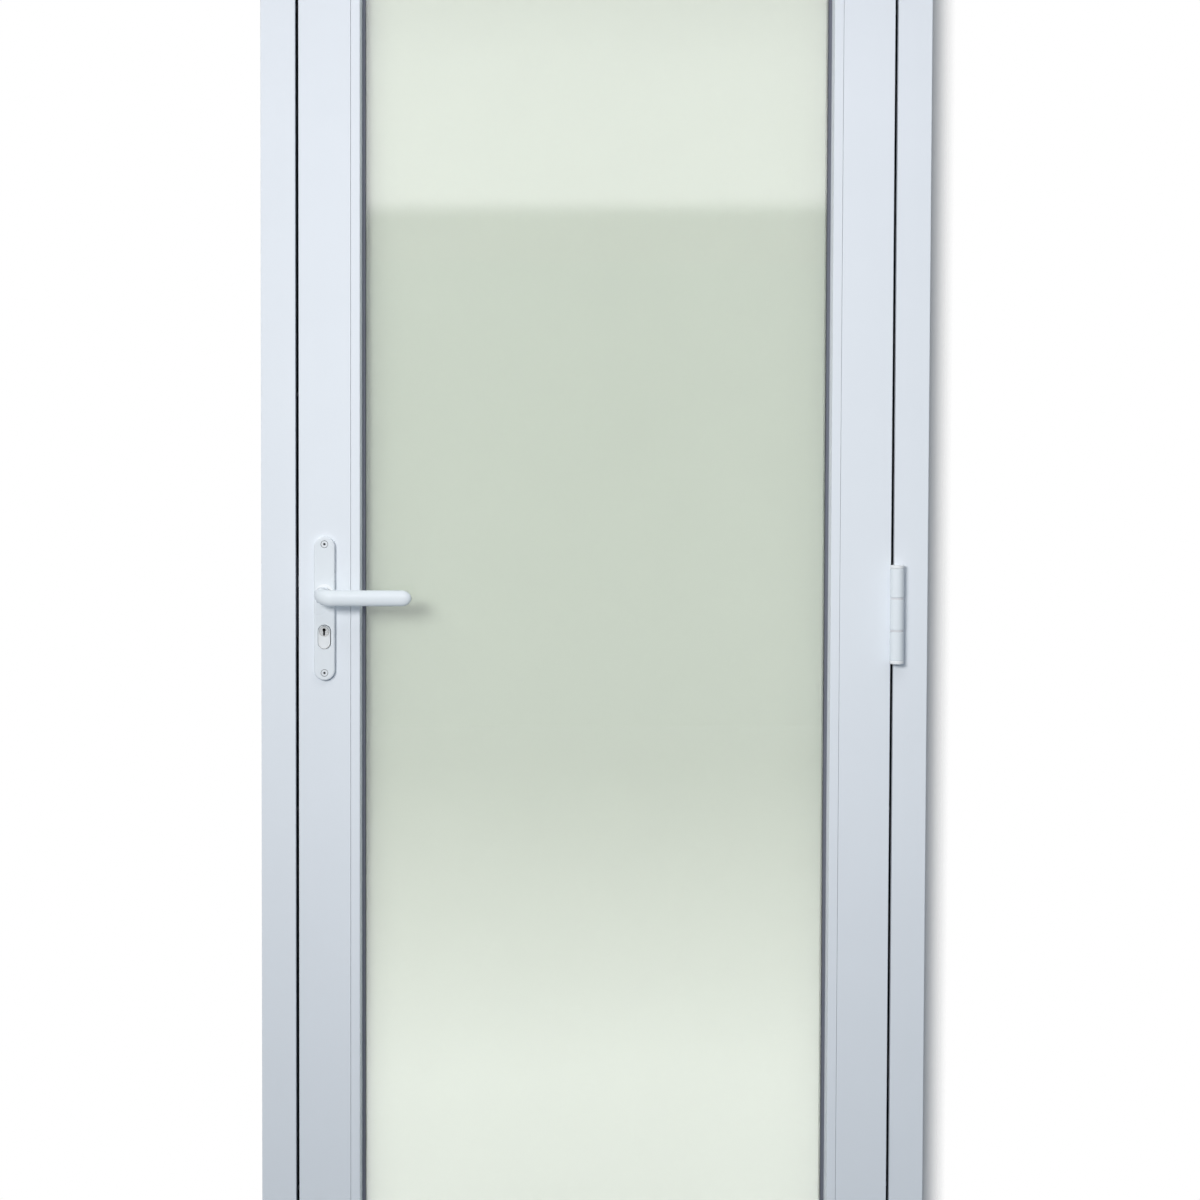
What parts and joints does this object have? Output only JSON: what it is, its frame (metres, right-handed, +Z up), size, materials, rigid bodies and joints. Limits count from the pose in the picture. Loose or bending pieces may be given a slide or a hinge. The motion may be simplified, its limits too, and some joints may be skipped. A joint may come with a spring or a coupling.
{
  "type": "glass door",
  "caption": "Single glazed white aluminium door leaf hung in its frame on barrel hinges, with lever handles on long plates, a cylinder lock and a low threshold.",
  "frame": {"origin": "on the floor, midway across the frame, in the middle of the leaf's depth", "axes": "+X towards the hinge side, +Z up, -Y towards the side the leaf opens to (the face in the picture)"},
  "size_m": [0.95, 0.15, 2.2],
  "materials": {
    "white_coat": "satin white powder coat",
    "anodised_aluminium": "silver anodised",
    "mill_aluminium": "mill finish",
    "black_rubber": "matt black",
    "tinted_glass": "pale green tint, polished",
    "block_plastic": "matt",
    "white_plastic": "satin white",
    "white_steel": "white lacquered heads",
    "satin_nickel": "satin nickel plate",
    "steel": "bright zinc plate"
  },
  "bodies": {
    "frame": {"jamb_lock_side": "white_coat", "jamb_hinge_side": "white_coat", "frame_head": "white_coat", "threshold": "anodised_aluminium", "frame_seal": "black_rubber", "frame_corner_cleats": "mill_aluminium", "strike_plate": "steel", "strike_screws": "steel", "hinge_bottom_frame_knuckle_upper": "white_coat", "hinge_bottom_frame_knuckle_lower": "white_coat", "hinge_middle_frame_knuckle_upper": "white_coat", "hinge_middle_frame_knuckle_lower": "white_coat", "hinge_top_frame_knuckle_upper": "white_coat", "hinge_top_frame_knuckle_lower": "white_coat", "hinge_bottom_pin": "steel", "hinge_middle_pin": "steel", "hinge_top_pin": "steel", "hinge_caps": "white_plastic", "hinge_frame_screws": "steel"},
    "leaf": {"stile_lock_side": "white_coat", "stile_hinge_side": "white_coat", "rail_top": "white_coat", "rail_bottom": "white_coat", "leaf_corner_cleats": "mill_aluminium", "bead_left": "white_coat", "bead_right": "white_coat", "bead_top": "white_coat", "bead_bottom": "white_coat", "glass_front_pane": "tinted_glass", "glass_rear_pane": "tinted_glass", "glass_spacer": "mill_aluminium", "glass_edge_seal": "black_rubber", "front_glazing_gasket": "black_rubber", "rear_glazing_gasket": "black_rubber", "setting_blocks": "block_plastic", "hinge_bottom_leaf_knuckle": "white_coat", "hinge_middle_leaf_knuckle": "white_coat", "hinge_top_leaf_knuckle": "white_coat", "hinge_bushes": "white_plastic", "hinge_leaf_screws": "steel", "front_handle_plate": "white_coat", "rear_handle_plate": "white_coat", "plate_screws": "white_steel", "lever_bushes": "white_plastic", "lock_case": "steel", "lock_case_cover": "steel", "lock_faceplate": "steel", "faceplate_screws": "steel", "cylinder_body": "satin_nickel", "cylinder_screw": "steel"},
    "levers": {"front_lever": "white_coat", "rear_lever": "white_coat", "spindle": "steel", "follower": "steel", "lever_grub_screws": "steel"},
    "latch": {"latch_bolt": "steel"},
    "bolt": {"deadbolt": "steel"},
    "outer_plug": {"outer_key_plug": "satin_nickel", "cylinder_cam": "satin_nickel"},
    "inner_plug": {"inner_key_plug": "satin_nickel"}
  },
  "joints": [
    {"name": "leaf_swing", "type": "hinge", "parent": "frame", "child": "leaf", "pos_m": [0.429, -0.0355, 1.086], "axis": [0, 0, 1], "range_deg": [0, 170]},
    {"name": "lever_turn", "type": "hinge", "parent": "leaf", "child": "levers", "pos_m": [-0.385, 0, 1.115], "axis": [0, 1, 0], "range_deg": [0, 40], "stiffness_Nm_per_rad": 1.5, "springref_deg": -28.65},
    {"name": "latch_slide", "type": "slide", "parent": "leaf", "child": "latch", "axis": [1, 0, 0], "range_m": [0, 0.011]},
    {"name": "key_turn", "type": "hinge", "parent": "leaf", "child": "outer_plug", "pos_m": [-0.385, 0, 1.061], "axis": [0, -1, 0], "range_deg": [0, 360]},
    {"name": "bolt_slide", "type": "slide", "parent": "leaf", "child": "bolt", "axis": [-1, 0, 0], "range_m": [0, 0.02]},
    {"name": "inner_key_turn", "type": "hinge", "parent": "leaf", "child": "inner_plug", "pos_m": [-0.385, 0, 1.061], "axis": [0, 1, 0], "range_deg": [0, 360]}
  ],
  "couplings": [
    {"joint": "latch_slide", "follows": "lever_turn", "m_per_rad": 0.015756},
    {"joint": "key_turn", "follows": "bolt_slide", "rad_per_m": 314.16}
  ]
}
